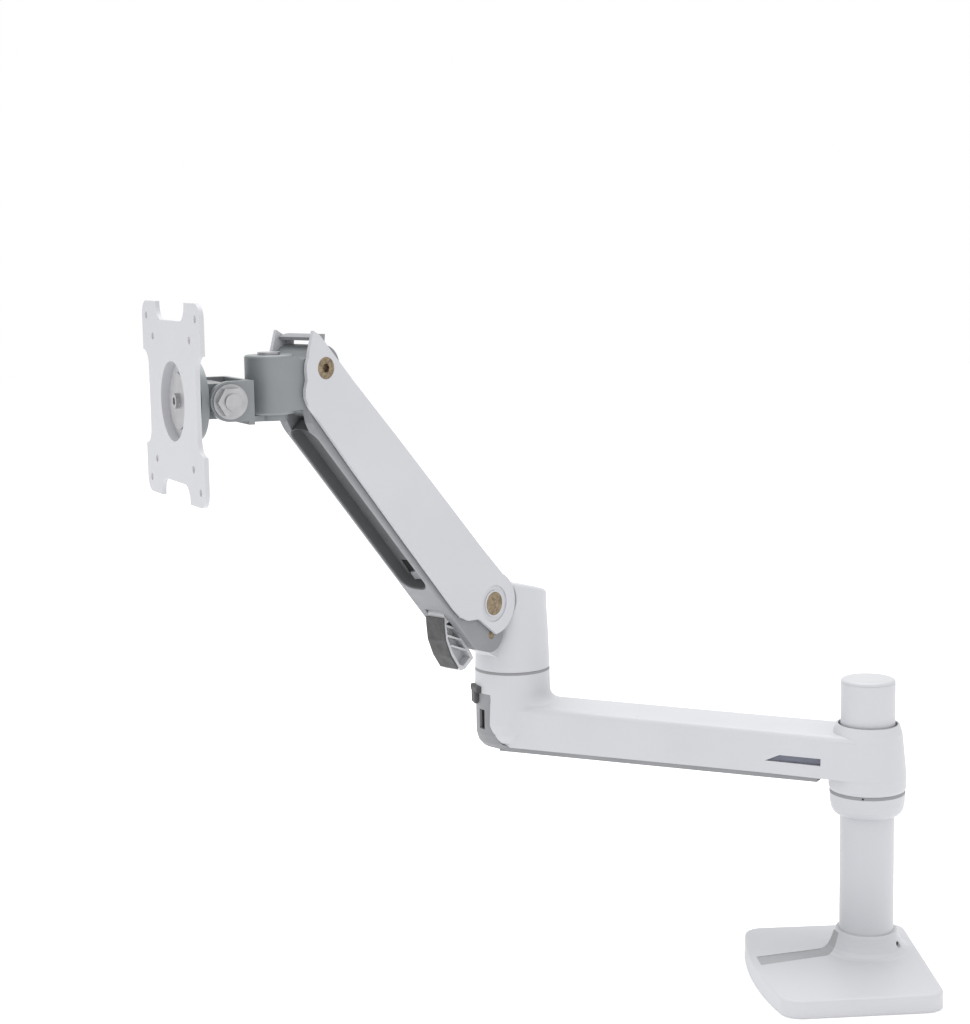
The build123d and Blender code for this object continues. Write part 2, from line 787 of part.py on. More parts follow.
def lower_channel():
    """The grey link under the lift arm: two walls, a floor and a long groove beneath."""
    end = ARM_LENGTH
    body = link_side(1) + link_side(-1)
    floor = side(outline(((43.8, -4), (end - 26, -4), (end - 26, LINK_LOW), (43.8, LINK_LOW))), -FORK_IN, FORK_IN)
    body += floor
    inner = block(18.0, end - 16.0, -LINK_HALF + 2.4, LINK_HALF - 2.4, LINK_LOW + GROOVE_DEPTH + 2.4, 20)
    body -= inner
    groove = extrude(
        Pos((GROOVE_START + end - 7.0) / 2, 0, LINK_LOW - 1)
        * RectangleRounded(end - 7.0 - GROOVE_START, 2 * GROOVE_HALF, 9.0),
        GROOVE_DEPTH + 1,
    )
    body -= groove
    body -= block(68.0, 92.0, 0.0, 9.0, LINK_LOW, 10)
    body -= across(LOWER_PIN_R, -40, 40)
    body -= across(CLIP_PIN_R, -40, 40, *CLIP_AT)
    body -= across(LOWER_PIN_R + OPEN_HOLE_GAP, -40, 40, end)
    long_edges = [
        e
        for e in body.edges().filter_by(Axis.X)
        if e.center().Z < LINK_LOW + 0.5 and abs(e.center().Y) > LINK_HALF - 0.2
    ]
    return soften(body, long_edges, 1.6)


def channel_clip():
    """The small bright spring clip in the groove's rear slot."""
    top = LINK_LOW + GROOVE_DEPTH
    clip = block(69.0, 86.0, 1.5, 4.6, top - 2.2, top - 0.2)
    hook = block(69.0, 74.0, 1.5, 4.6, top - 0.4, top + 1.6)
    return clip + hook


def lower_pin(x):
    """A plain pin through the channel's eyes."""
    return across(LOWER_PIN_R, -LINK_HALF + 0.2, LINK_HALF - 0.2, x)


CLIP_AT = (40.0, -12.3)
CLIP_HALF = 7.4
CLIP_PIN_R = 1.6


def clip_outline():
    """The guide's side view: curved in front, open behind."""
    return outline(
        ((-3.6, 2.6), (1.4, 2.6), (3.4, -3.0), (3.2, -10.5), (2.0, -20.4), (-2.8, -31.4), (-9.6, -40.8),
         (-12.4, -43.6), (-16.6, -43.0), (-25.2, -37.0), (-23.5, -33.5), (-17.0, -24.0), (-11.0, -12.0))
    )


def cable_clip():
    """The hinged cable guide that hangs under the channel: a ribbed hook."""
    body = side(clip_outline(), -CLIP_HALF, CLIP_HALF)
    hollow = outline(
        ((-6.5, -7.0), (1.2, -9.0), (-0.2, -20.0), (-4.9, -30.0), (-11.4, -39.2), (-15.0, -40.6),
         (-21.8, -35.8), (-14.6, -24.5))
    )
    for y0, y1 in ((-CLIP_HALF - 1, -0.9), (0.9, CLIP_HALF + 1)):
        body -= side(hollow, y0, y1)
    for x, z in ((-8.5, -14.0), (-12.5, -22.0), (-17.5, -30.0)):
        rib = Pos(x, 0, z) * Rot(0, -20, 0) * block(-4, 15.0, -CLIP_HALF + 0.6, CLIP_HALF - 0.6, -0.7, 0.7)
        body += rib & side(clip_outline(), -CLIP_HALF, CLIP_HALF)
    return body - across(CLIP_PIN_R + RUN, -20, 20)


def clip_facing():
    """The dark curved face on the cable guide's front."""
    face = outline(
        ((3.5, -5.0), (4.9, -5.0), (4.6, -10.6), (3.4, -20.9), (-1.5, -32.2), (-8.5, -41.9), (-9.4, -40.75),
         (-2.7, -31.4), (2.1, -20.4), (3.3, -10.5))
    )
    return side(face, -CLIP_HALF - 0.6, CLIP_HALF + 0.6)


def clip_pin():
    """The guide's hinge pin between the channel's walls."""
    return across(CLIP_PIN_R, -LINK_HALF + 0.3, LINK_HALF - 0.3)


# ---------------------------------------------------------------- head


def clevis_eyes():
    """The casting's rear: a wide eye above and a narrow tongue for the lower pivot."""
    low = -PIVOT_DROP
    wide = across(LUG_R, -LUG_HALF, LUG_HALF) - block(-40, 3.0, -40, 40, -40, -1.0)
    wide += across(BOSS_R, -LUG_HALF, LUG_HALF)
    wide += block(4.0, BARREL_OUT, -BARREL_R, BARREL_R, -10.5, 8.4)
    spine = outline(
        ((-9.0, 0), (-9.5, low), (-5.0, low - 7.0), (2.0, low - 8.5), (13.0, BARREL_DOWN + 1.0),
         (26.0, BARREL_DOWN + 1.0), (26.0, -8.0), (9, 0))
    )
    return wide + side(spine, -TONGUE_HALF, TONGUE_HALF)


def front_clevis():
    """The head casting: two pivot eyes behind and an upright barrel in front."""
    low = -PIVOT_DROP
    barrel = rod(BARREL_R, BARREL_DOWN, BARREL_UP, BARREL_OUT)
    barrel = soften(barrel, barrel.edges(), 1.6)
    skirt = block(14.6, BARREL_OUT, -BARREL_R, BARREL_R, BARREL_DOWN + 2, -10.0)
    body = clevis_eyes() + skirt + barrel
    body -= across(5.6, -40, 40, 16.6, 11.6) - rod(BARREL_R, -50, 50, BARREL_OUT)
    body -= across(LINK_END_R + 0.5, TONGUE_HALF, 40, 0, low)
    body -= across(LINK_END_R + 0.5, -40, -TONGUE_HALF, 0, low)
    body -= rod(PAN_PIN_R + RUN, BARREL_DOWN - 1, BARREL_UP + 1, BARREL_OUT)
    body -= across(PIN_R + RUN, -40, 40)
    return body - across(LOWER_PIN_R + RUN, -40, 40, 0, low)


def head_shield():
    """The grey curved shield over the head pivot, standing on the casting between the cheeks."""
    arc = Circle(SHIELD_R) - Circle(SHIELD_R - 2.2)
    arc &= outline(((0, 0), polar(60, 66.0), polar(60, 98.0)))
    body = side(arc, -LUG_HALF + 0.4, LUG_HALF - 0.4)
    ear = Circle(SHIELD_R - 1.0) - Circle(LUG_R + 0.05)
    ear &= outline(((0, 0), polar(60, 78.0), polar(60, 98.0)))
    for y0, y1 in ((-LUG_HALF + 0.4, -LUG_HALF + 2.6), (LUG_HALF - 2.6, LUG_HALF - 0.4)):
        body += side(ear, y0, y1)
    return body


def pan_pin():
    """The upright pin through the barrel, pressed into the fork's foot, with a low head on top."""
    low = BARREL_DOWN - FACE_GAP - ARM_T
    top = BARREL_UP + FACE_GAP
    return rod(PAN_PIN_R, low, top + 0.1, BARREL_OUT) + rod(7.0, top, top + 1.4, BARREL_OUT)


def pan_tongue():
    """The fork's foot under the barrel, the upright web in front of it and the two ears."""
    high = BARREL_DOWN - FACE_GAP
    low = high - ARM_T
    body = rod(FORK_DISC_R, low, high)
    body += block(0, TILT_OUT - 11.5, -8.0, 8.0, low, high)
    body += block(TILT_OUT - 15.0, TILT_OUT - 11.5, -26.0, 26.0, low, TILT_Z + 12.0)
    for y0, y1 in ((-26.0, -21.0), (21.0, 26.0)):
        body += block(TILT_OUT - 15.0, TILT_OUT, y0, y1, TILT_Z - 12.0, TILT_Z + 12.0)
        body += across(12.0, y0, y1, TILT_OUT, TILT_Z)
    body -= rod(PAN_PIN_R, low - 1, high + 1)
    return body - across(5.0 + RUN, -40, 40, TILT_OUT, TILT_Z)


def tilt_axle():
    """The cross axle with its friction nuts."""
    body = across(5.0, -33.0, 33.0, TILT_OUT, TILT_Z)
    for y0, y1 in ((-31.5, -27.0), (27.0, 31.5)):
        body += side(Pos(TILT_OUT, TILT_Z) * RegularPolygon(9.2, 6), y0, y1)
    for y0, y1 in ((-27.0, -26.2), (26.2, 27.0)):
        body += across(10.5, y0, y1, TILT_OUT, TILT_Z)
    return body


def tilt_block():
    """The block between the fork's ears, with the ring that the plate turns on."""
    body = across(10.5, -20.7, 20.7, TILT_OUT, TILT_Z)
    body += block(TILT_OUT, TILT_OUT + VESA_OUT - 6.0, -17.0, 17.0, TILT_Z - 10.5, TILT_Z + 10.5)
    body += lengthwise(24.0, TILT_OUT + VESA_OUT - 8.0, TILT_OUT + VESA_OUT - 3.2, TILT_Z)
    body += lengthwise(12.0, TILT_OUT + VESA_OUT - 4.0, TILT_OUT + VESA_OUT + 2.4, TILT_Z)
    body -= across(5.0 + RUN, -40, 40, TILT_OUT, TILT_Z)
    return body - lengthwise(2.6, TILT_OUT + 8.0, TILT_OUT + 40, TILT_Z)


def vesa_washer():
    """The slip ring between block and plate."""
    x = TILT_OUT + VESA_OUT
    return lengthwise(23.6, x - 3.1, x - 1.3, TILT_Z) - lengthwise(12.3, x - 5, x, TILT_Z)


def vesa_retainer():
    """The disc and screw that hold the plate on its ring."""
    x = TILT_OUT + VESA_OUT
    body = lengthwise(17.0, x + 2.5, x + 4.3, TILT_Z) + lengthwise(2.55, x - 6.0, x + 3.0, TILT_Z)
    body += lengthwise(4.6, x + 4.0, x + 6.6, TILT_Z)
    return body - Pos(x + 5.0, 0, TILT_Z) * Rot(0, 90, 0) * extrude(RegularPolygon(2.6, 6), 3.0)


def vesa_plan():
    """The screen plate's outline, its two square hole patterns and corner cut-outs."""
    half = PLATE_SIDE / 2
    plan = RectangleRounded(PLATE_SIDE, PLATE_SIDE, 9.0)
    notch = Pos(half + 12, 0) * RectangleRounded(46.0, 58.0, 10.0)
    for turns in range(4):
        plan -= Rot(0, 0, 90.0 * turns) * notch
    for pitch in (75.0, 100.0):
        for x in (-pitch / 2, pitch / 2):
            for y in (-pitch / 2, pitch / 2):
                plan -= Pos(x, y) * Circle(PLATE_HOLE_R)
    return plan


def vesa_plate():
    """The plate that the screen screws to, with a dished centre that keeps the retainer behind its face."""
    back = TILT_OUT + VESA_OUT - 1.2
    face = back + DISH_DEPTH
    flat = Pos(face, 0, TILT_Z) * Rot(0, 90, 0) * extrude(vesa_plan(), PLATE_T)
    cup = lengthwise(DISH_R + PLATE_T, back, face + PLATE_T, TILT_Z)
    well = lengthwise(DISH_R, back + PLATE_T, face + PLATE_T + 1, TILT_Z)
    return flat + cup - well - lengthwise(12.0 + RUN, back - 1, face + PLATE_T + 1, TILT_Z)


# ---------------------------------------------------------------- placing and writing


def at_beam(shape):
    """From the beam's own frame to the desk's."""
    return turn(shape, BEAM_YAW)


def at_elbow(shape):
    """From the knuckle's own frame to the desk's."""
    x, y = polar(BEAM_LENGTH, BEAM_YAW)
    return turn(shape, ARM_YAW, x, y)


def at_pivot(shape, drop=0.0):
    """From the lift arm's own frame to the desk's."""
    lifted = Pos(PIVOT_OUT, 0, PIVOT_Z - drop) * Rot(0, -ARM_PITCH, 0) * shape
    return at_elbow(lifted)


def at_head(shape):
    """From the head casting's own frame to the desk's."""
    pitch = math.radians(ARM_PITCH)
    out = PIVOT_OUT + ARM_LENGTH * math.cos(pitch)
    up = PIVOT_Z + ARM_LENGTH * math.sin(pitch)
    return at_elbow(Pos(out, 0, up) * shape)


def at_pan(shape):
    """From the screen mount's own frame to the desk's."""
    return at_head(Pos(BARREL_OUT, 0, 0) * Rot(0, 0, HEAD_YAW - ARM_YAW) * shape)


def at_clip(shape):
    """From the cable guide's own frame to the desk's."""
    pitch = math.radians(ARM_PITCH)
    x, z = CLIP_AT
    out = PIVOT_OUT + x * math.cos(pitch) - z * math.sin(pitch)
    up = PIVOT_Z - PIVOT_DROP + x * math.sin(pitch) + z * math.cos(pitch)
    return at_elbow(Pos(out, 0, up) * shape)


def nodes():
    """Every piece by name, where it rests."""
    yield "foot", foot()
    yield "foot_pad", foot_pad()
    yield "foot_cable_channel", foot_cable_channel()
    yield "foot_set_screw", foot_set_screw()
    yield "pole", pole()
    yield "pole_cap", pole_cap()
    yield "stop_collar", stop_collar()
    yield "collar_screws", collar_screws()
    yield "collar_washer", collar_washer()
    yield "extension_arm", at_beam(extension_arm())
    yield "hub_bush", at_beam(hub_bush())
    yield "elbow_bush", at_beam(elbow_bush())
    yield "elbow_washer", at_beam(elbow_washer())
    yield "extension_cover", at_beam(extension_cover())
    yield "extension_latch", at_beam(extension_latch())
    yield "extension_window", at_beam(extension_window())
    yield "knuckle", at_elbow(knuckle())
    yield "knuckle_stem", at_elbow(knuckle_stem())
    yield "stem_retainer", at_elbow(stem_retainer())
    yield "upper_cover", at_pivot(upper_cover())
    yield "elbow_pin", at_pivot(pivot_pin(0.0, PIN_HEAD_R, 0.0))
    yield "head_pin", at_pivot(pivot_pin(ARM_LENGTH, HEAD_PIN_R, 3.0))
    yield "tension_spring", at_pivot(tension_spring())
    yield "tension_rod", at_pivot(tension_rod())
    yield "tension_blocks", at_pivot(tension_blocks())
    yield "lower_channel", at_pivot(lower_channel(), PIVOT_DROP)
    yield "channel_clip", at_pivot(channel_clip(), PIVOT_DROP)
    yield "lower_rear_pin", at_pivot(lower_pin(0.0), PIVOT_DROP)
    yield "lower_front_pin", at_pivot(lower_pin(ARM_LENGTH), PIVOT_DROP)
    yield "cable_clip", at_clip(cable_clip())
    yield "clip_facing", at_clip(clip_facing())
    yield "clip_pin", at_clip(clip_pin())
    yield "front_clevis", at_head(front_clevis())
    yield "head_shield", at_head(head_shield())
    yield "pan_pin", at_head(pan_pin())
    yield "pan_tongue", at_pan(pan_tongue())
    yield "tilt_axle", at_pan(tilt_axle())
    yield "tilt_block", at_pan(tilt_block())
    yield "vesa_washer", at_pan(vesa_washer())
    yield "vesa_retainer", at_pan(vesa_retainer())
    yield "vesa_plate", at_pan(vesa_plate())


def write_parts():
    """Write one STEP file for each piece."""
    os.makedirs("parts", exist_ok=True)
    for name, shape in nodes():
        export_step(shape, "parts/" + name + ".step")
        print(name, "solids", len(shape.solids()))


write_parts()
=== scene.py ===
"""Finishes, small shaped parts and studio for a sprung desk arm that holds one screen."""

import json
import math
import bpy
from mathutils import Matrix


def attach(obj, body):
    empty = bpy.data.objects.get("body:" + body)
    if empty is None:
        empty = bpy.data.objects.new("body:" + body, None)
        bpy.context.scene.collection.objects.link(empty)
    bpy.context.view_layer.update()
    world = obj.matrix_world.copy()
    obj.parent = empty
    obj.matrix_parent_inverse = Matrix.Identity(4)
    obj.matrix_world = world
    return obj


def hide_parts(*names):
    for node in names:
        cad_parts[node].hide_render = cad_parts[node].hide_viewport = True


bl_info = {
    "name": "Desk Arm Finisher",
    "version": (1, 0, 0),
    "blender": (4, 5, 0),
    "location": "View3D > Sidebar > Desk Arm",
    "description": "Coats, moulds and lights a sprung desk arm built on its packed frame",
    "category": "Object",
}

import bpy
import numpy as np
from bpy.props import FloatProperty, FloatVectorProperty, PointerProperty
from mathutils import Matrix, Vector

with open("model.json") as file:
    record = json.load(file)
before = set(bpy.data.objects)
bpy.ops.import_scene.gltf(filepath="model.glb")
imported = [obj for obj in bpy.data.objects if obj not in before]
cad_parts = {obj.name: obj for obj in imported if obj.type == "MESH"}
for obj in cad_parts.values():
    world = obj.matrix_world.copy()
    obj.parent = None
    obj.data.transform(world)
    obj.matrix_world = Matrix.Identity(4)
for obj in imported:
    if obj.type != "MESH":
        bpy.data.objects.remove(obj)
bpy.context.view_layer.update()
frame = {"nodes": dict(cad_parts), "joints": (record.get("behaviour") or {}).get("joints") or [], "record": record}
JOINTS = {joint["name"]: joint for joint in frame["joints"]}
RECORD = frame["record"]
FULL_TURN = 2.0 * math.pi


# ------------------------------------------------------------------ settings


def tint(name, description, default):
    """A colour setting."""
    return FloatVectorProperty(
        name=name,
        description=description,
        subtype="COLOR",
        size=3,
        min=0.0,
        max=1.0,
        default=default,
    )


class DeskArmFinish(bpy.types.PropertyGroup):
    """Colours and surface scale of the arm's finishes."""

    coat_colour: tint("Powder coat", "White satin coat on the castings", (0.487, 0.492, 0.515))
    moulding_colour: tint("White moulding", "Plain white plastic parts", (0.475, 0.480, 0.496))
    cover_colour: tint("Grey covers", "Cable covers, washers and channel", (0.236, 0.239, 0.250))
    strip_colour: tint(
        "Foot strip", "Paler grey of the foot's cable strip", (0.322, 0.325, 0.337)
    )
    # Painted shade: a little darker than the covers, for the shade in the groove under the lift arm.
    channel_colour: tint(
        "Lower channel", "Grey of the channel under the lift arm", (0.225, 0.230, 0.242)
    )
    # Painted shade: a dark grey for the sheet set in the channel's groove, standing in for the shade there.
    tray_colour: tint(
        "Groove tray", "Dark grey inside the channel's groove", (0.092, 0.095, 0.098)
    )
    window_colour: tint("Window", "Blue-grey of the beam's window", (0.135, 0.145, 0.180))
    dark_colour: tint("Charcoal parts", "Catch, guide face and liners", (0.054, 0.054, 0.056))
    casting_colour: tint("Head casting", "Silver-grey paint on the head", (0.208, 0.222, 0.230))
    bronze_colour: tint("Pivot pins", "Dull bronze plate on the pins", (0.285, 0.225, 0.150))
    grain_size: FloatProperty(
        name="Coat grain",
        description="Width of one bump in the powder coat",
        default=0.0006,
        min=0.0001,
        max=0.01,
        precision=5,
        unit="LENGTH",
    )


class DeskArmStudio(bpy.types.PropertyGroup):
    """Floor, light and camera."""

    floor_colour: tint("Floor", "Pale floor", (0.93, 0.93, 0.935))
    key_power: FloatProperty(
        name="Key light",
        description="Base power; each soft light takes a multiple of it",
        default=6.0,
        min=0.0,
        unit="POWER",
    )
    sky_strength: FloatProperty(
        name="Room light", description="Brightness of the white room", default=1.0, min=0.0
    )
    lens: FloatProperty(
        name="Lens",
        description="Focal length for a 36 mm long side",
        default=70.3125,
        min=10.0,
        unit="CAMERA",
    )


class DeskArmSpring(bpy.types.PropertyGroup):
    """The lift arm's spring and its threaded rod."""

    wire: FloatProperty(
        name="Wire",
        description="Radius of the spring wire",
        default=0.00145,
        min=0.0005,
        unit="LENGTH",
    )
    turns: FloatProperty(
        name="Turns", description="Open turns between the closed end coils", default=17.0, min=3.0
    )
    thread_pitch: FloatProperty(
        name="Thread pitch",
        description="Pitch of the rod's thread",
        default=0.00125,
        min=0.0003,
        unit="LENGTH",
    )


# ------------------------------------------------------------------ shader arithmetic


class Wire:
    """A shader socket that takes part in sums; the sums add Math nodes to its tree."""

    def __init__(self, tree, socket=None):
        self.tree = tree
        self.socket = socket

    def node(self, kind, settings=None, values=None, out=0):
        """Any node: its type, settings, inputs as numbers or wires, and the output wanted."""
        made = self.tree.nodes.new(kind)
        for key, value in (settings or {}).items():
            if key == "stops":
                self._stops(made.color_ramp, value)
            else:
                setattr(made, key, value)
        for key, value in (values or {}).items():
            if isinstance(value, Wire):
                self.tree.links.new(value.socket, made.inputs[key])
            else:
                made.inputs[key].default_value = value
        return Wire(self.tree, made.outputs[out])

    @staticmethod
    def _stops(ramp, stops):
        while len(ramp.elements) < len(stops):
            ramp.elements.new(0.5)
        for element, (place, shade) in zip(ramp.elements, stops):
            element.position = place
            element.color = (shade, shade, shade, 1.0)

    def _sum(self, operation, first, second):
        return self.node("ShaderNodeMath", {"operation": operation}, {0: first, 1: second})

    def __add__(self, other):
        return self._sum("ADD", self, other)

    def __radd__(self, other):
        return self._sum("ADD", other, self)

    def __sub__(self, other):
        return self._sum("SUBTRACT", self, other)

    def __rsub__(self, other):
        return self._sum("SUBTRACT", other, self)

    def __mul__(self, other):
        return self._sum("MULTIPLY", self, other)

    def __rmul__(self, other):
        return self._sum("MULTIPLY", other, self)

    def mix(self, low, high):
        """A colour between two, by this wire's value."""
        return self.node(
            "ShaderNodeMix",
            {"data_type": "RGBA"},
            {0: self, 6: _rgba(low), 7: _rgba(high)},
            2,
        )


def _rgba(colour):
    return colour if isinstance(colour, Wire) else (*colour, 1.0)


def shaded(colour, factor):
    """A colour times a number, kept in range."""
    return tuple(min(1.0, channel * factor) for channel in colour)


class Finish:
    """A material being made: its tree, its shader and its place on the object."""

    def __init__(self, name, metallic=0.0, coat=0.0, specular=0.5):
        self.material = bpy.data.materials.new(name)
        self.material.use_nodes = True
        self.tree = self.material.node_tree
        self.shader = self.tree.nodes["Principled BSDF"]
        self.shader.inputs["Metallic"].default_value = metallic
        self.shader.inputs["Coat Weight"].default_value = coat
        self.shader.inputs["Specular IOR Level"].default_value = specular
        self.wire = Wire(self.tree)
        self.place = self.wire.node("ShaderNodeTexCoord", out="Object")

    def noise(self, width, detail=2.0, roughness=0.5, stretch=(1.0, 1.0, 1.0)):
        """Noise whose features are about width metres across."""
        placed = self.wire.node(
            "ShaderNodeMapping", None, {"Vector": self.place, "Scale": stretch}
        )
        return self.wire.node(
            "ShaderNodeTexNoise",
            None,
            {"Vector": placed, "Scale": 1.0 / width, "Detail": detail, "Roughness": roughness},
            "Fac",
        )

    def ramp(self, value, low, high):
        """The value stretched so that low becomes 0 and high becomes 1."""
        stops = ((low, 0.0), (high, 1.0))
        return self.wire.node("ShaderNodeValToRGB", {"stops": stops}, {"Fac": value})

    def close(self, colour, roughness, height=None, depth=0.0002, strength=0.2):
        """Feed the shader and give back the material."""
        feeds = {"Base Color": colour, "Roughness": roughness}
        if height is not None:
            feeds["Normal"] = self.wire.node(
                "ShaderNodeBump", None, {"Height": height, "Distance": depth, "Strength": strength}
            )
        for key, value in feeds.items():
            if isinstance(value, Wire):
                self.tree.links.new(value.socket, self.shader.inputs[key])
            else:
                self.shader.inputs[key].default_value = value
        return self.material


def powder_coat(settings):
    """White satin coat: a fine even orange peel, faint cloudiness and slightly glossier patches."""
    made = Finish("powder_coat", coat=0.06, specular=0.45)
    grain = made.noise(settings.grain_size, 2.0, 0.6)
    peel = made.noise(settings.grain_size * 4.0, 1.0)
    cloud = made.noise(0.07, 2.0)
    base = settings.coat_colour[:]
    colour = made.ramp(cloud, 0.3, 0.7).mix(shaded(base, 0.972), shaded(base, 1.012))
    fleck = made.ramp(grain, 0.62, 0.80)
    colour = (fleck * 0.35).mix(colour, shaded(base, 0.90))
    rough = 0.40 + 0.10 * cloud + 0.06 * grain
    return made.close(colour, rough, grain * 0.6 + peel * 0.8, 0.00012, 0.28)


def white_moulding(settings):
    """Plain white moulded plastic: smoother than the coat, with faint flow marks."""
    made = Finish("white_moulding", specular=0.5)
    flow = made.noise(0.02, 3.0, 0.6, (1.0, 1.0, 0.35))
    grain = made.noise(0.0004, 1.0)
    base = settings.moulding_colour[:]
    colour = made.ramp(flow, 0.3, 0.75).mix(shaded(base, 0.96), base)
    return made.close(colour, 0.36 + 0.12 * flow, grain + flow * 0.5, 0.00008, 0.2)


def grey_moulding(settings, name="grey_moulding", colour=None):
    """Mid-grey plastic with a spark-etched skin and a little handling polish."""
    made = Finish(name, specular=0.4)
    etch = made.noise(0.00045, 3.0, 0.7)
    cloud = made.noise(0.03, 2.0)
    polish = made.noise(0.012, 3.0, 0.6)
    base = (colour or settings.cover_colour)[:]
    colour = made.ramp(cloud, 0.25, 0.75).mix(shaded(base, 0.93), shaded(base, 1.06))
    colour = (made.ramp(etch, 0.58, 0.72) * 0.4).mix(colour, shaded(base, 1.16))
    rough = 0.60 - 0.16 * made.ramp(polish, 0.45, 0.75) + 0.06 * etch
    return made.close(colour, rough, etch, 0.00018, 0.35)


def strip_moulding(settings):
    """The foot strip's paler grey."""
    return grey_moulding(settings, "strip_moulding", settings.strip_colour)


def channel_moulding(settings):
    """The lower channel's grey, painted a little darker as shade for its groove under the lift arm."""
    return grey_moulding(settings, "channel_moulding", settings.channel_colour)


def tray_moulding(settings):
    """Painted shade: the dark grey of the sheet in the groove, which stands in for the groove's shade."""
    return grey_moulding(settings, "tray_moulding", settings.tray_colour)


def window_moulding(settings):
    """The window's blue-grey."""
    return grey_moulding(settings, "window_moulding", settings.window_colour)


def charcoal_moulding(settings):
    """Charcoal plastic with a coarser grain and pale rubbed specks."""
    made = Finish("charcoal_moulding", specular=0.4)
    etch = made.noise(0.0006, 3.0, 0.7)
    rub = made.noise(0.006, 4.0, 0.7)
    base = settings.dark_colour[:]
    colour = made.ramp(rub, 0.35, 0.8).mix(shaded(base, 0.85), shaded(base, 1.6))
    return made.close(colour, 0.50 + 0.16 * etch, etch, 0.0002, 0.4)


def silver_casting(settings):
    """Silver-grey paint over a casting: metal flake and soft unevenness."""
    made = Finish("silver_casting", metallic=0.25, coat=0.1, specular=0.5)
    flake = made.noise(0.00035, 2.0, 0.7)
    sag = made.noise(0.010, 2.0)
    cloud = made.noise(0.03, 2.0)
    base = settings.casting_colour[:]
    colour = made.ramp(cloud, 0.3, 0.7).mix(shaded(base, 0.94), shaded(base, 1.05))
    colour = (made.ramp(flake, 0.60, 0.75) * 0.5).mix(colour, shaded(base, 1.35))
    return made.close(colour, 0.40 + 0.14 * flake, sag * 3.0 + flake * 0.3, 0.00025, 0.18)


def bronze_plate(settings):
    """Dull bronze plate: turning marks, dark freckles and paler patches."""
    made = Finish("bronze_plate", metallic=0.85, specular=0.5)
    turning = made.noise(0.0009, 4.0, 0.7, (1.0, 1.0, 4.0))
    freckle = made.noise(0.0022, 4.0, 0.75)
    base = settings.bronze_colour[:]
    colour = made.ramp(freckle, 0.35, 0.68).mix(shaded(base, 0.45), shaded(base, 1.25))
    return made.close(colour, 0.34 + 0.28 * freckle, turning + freckle, 0.00012, 0.3)


def zinc_plate(settings):
    """Bright zinc plate, brushed along one way."""
    made = Finish("zinc_plate", metallic=1.0)
    brush = made.noise(0.0005, 3.0, 0.6, (1.0, 1.0, 0.08))
    stain = made.noise(0.006, 3.0)
    colour = made.ramp(stain, 0.3, 0.7).mix((0.38, 0.38, 0.395), (0.45, 0.45, 0.46))
    return made.close(colour, 0.26 + 0.16 * brush + 0.08 * stain, brush, 0.00008, 0.25)


def oiled_spring(settings):
    """Dark spring wire with an oily bloom."""
    made = Finish("oiled_spring", metallic=0.9, coat=0.3)
    bloom = made.noise(0.004, 3.0)
    scale = made.noise(0.0005, 3.0, 0.7)
    colour = made.ramp(bloom, 0.3, 0.7).mix((0.10, 0.10, 0.11), (0.22, 0.21, 0.20))
    return made.close(colour, 0.26 + 0.2 * scale, scale, 0.0001, 0.25)


def blackened_steel(settings):
    """Blackened steel with faint rubbed patches."""
    made = Finish("blackened_steel", metallic=0.6)
    rub = made.noise(0.0012, 3.0, 0.6)
    scale = made.noise(0.0003, 2.0, 0.7)
    colour = made.ramp(rub, 0.35, 0.7).mix((0.012, 0.012, 0.013), (0.035, 0.034, 0.034))
    return made.close(colour, 0.45 + 0.2 * scale, scale, 0.00008, 0.25)


def black_void():
    """Painted shade: near-black matt sheet for the backs of slots, which are only in shade, with a faint bloom."""
    made = bpy.data.materials.get("black_void")
    if made:
        return made
    made = Finish("black_void", specular=0.2)
    bloom = made.noise(0.003, 3.0)
    grain = made.noise(0.0004, 2.0)
    colour = bloom.mix((0.008, 0.008, 0.009), (0.016, 0.016, 0.017))
    return made.close(colour, 0.7 + 0.15 * bloom, grain, 0.0001, 0.3)


def foot_rubber(settings):
    """Black rubber with a fine cross-hatched grip and a dusty bloom."""
    made = Finish("foot_rubber", specular=0.3)
    dust = made.noise(0.012, 4.0, 0.65)
    lengthwise = made.noise(0.0009, 1.0, 0.5, (1.0, 0.35, 1.0))
    crosswise = made.noise(0.0009, 1.0, 0.5, (0.35, 1.0, 1.0))
    grip = lengthwise * crosswise
    colour = made.ramp(dust, 0.4, 0.8).mix((0.018, 0.018, 0.019), (0.07, 0.068, 0.066))
    return made.close(colour, 0.78 + 0.1 * dust, grip, 0.0003, 0.5)


# Every maker takes the settings, also where its colours are fixed, and names its material
# after itself: add_piece finds a slot's material by its maker's name.
FINISHES = {
    "white_paint": powder_coat,
    "white_plastic": white_moulding,
    "grey_plastic": grey_moulding,
    "dark_plastic": charcoal_moulding,
    "cast_grey": silver_casting,
    "pin_brass": bronze_plate,
    "steel": zinc_plate,
    "spring_steel": oiled_spring,
    "rubber": foot_rubber,
}

# Parts whose finish differs from that of their slot.
NODE_FINISHES = {
    "foot_cable_channel": strip_moulding,
    # Painted shade: the lower channel takes a darker grey for the shade in its groove.
    "lower_channel": channel_moulding,
    "extension_window": window_moulding,
    "foot_set_screw": blackened_steel,
}


# ------------------------------------------------------------------ places and surfaces


def axes_at(origin, along, near):
    """A local frame as an origin and three rows: along the member, to its near side, and up."""
    along = np.asarray(along, float) / np.linalg.norm(along)
    near = np.asarray(near, float) / np.linalg.norm(near)
    return np.asarray(origin, float), np.stack([along, near, np.cross(along, near)])


def lift_frame():
    """The lift arm's frame, from its two pivots."""
    rear, front = JOINTS["arm_lift"], JOINTS["head_level"]
    start = np.array(rear["pos_m"])
    return axes_at(start, np.array(front["pos_m"]) - start, -np.array(rear["axis"]))


def elbow_frame():
    """The extension's frame, moved out to the elbow's axis at the desk's height."""
    x, y, _ = JOINTS["arm_swivel"]["pos_m"]
    return axes_at((x, y, 0.0), (x, y, 0.0), (-y, x, 0.0))


